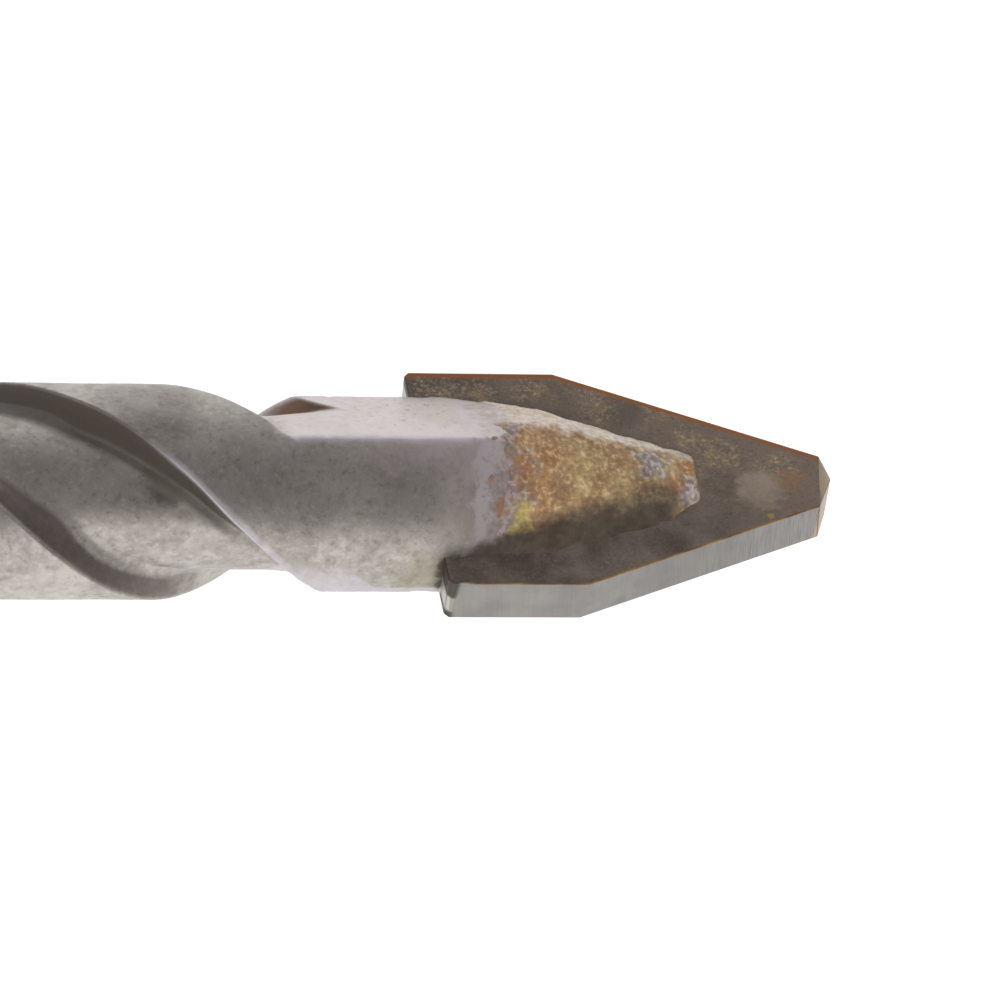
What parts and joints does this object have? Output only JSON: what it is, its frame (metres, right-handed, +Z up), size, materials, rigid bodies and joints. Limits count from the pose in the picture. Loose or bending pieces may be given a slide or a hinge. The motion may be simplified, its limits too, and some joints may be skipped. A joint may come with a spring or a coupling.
{
  "type": "masonry drill bit",
  "caption": "Masonry drill bit with a plain cylindrical shank, spiral flutes, flatted head and a brazed spear-shaped carbide plate.",
  "frame": {"origin": "on the surface that the drill lies on, under the middle of its length", "axes": "X runs along the drill toward its point, Z up from the surface, Y across"},
  "size_m": [0.12, 0.0072, 0.0063],
  "materials": {
    "blasted_steel": "matte, bead blasted",
    "sintered_carbide": "sintered faces with ground flanks",
    "braze_metal": "dull, flux stained"
  },
  "bodies": {
    "root": {"fluted_shank": "blasted_steel", "carbide_tip": "sintered_carbide", "braze_seam": "braze_metal"}
  },
  "joints": []
}
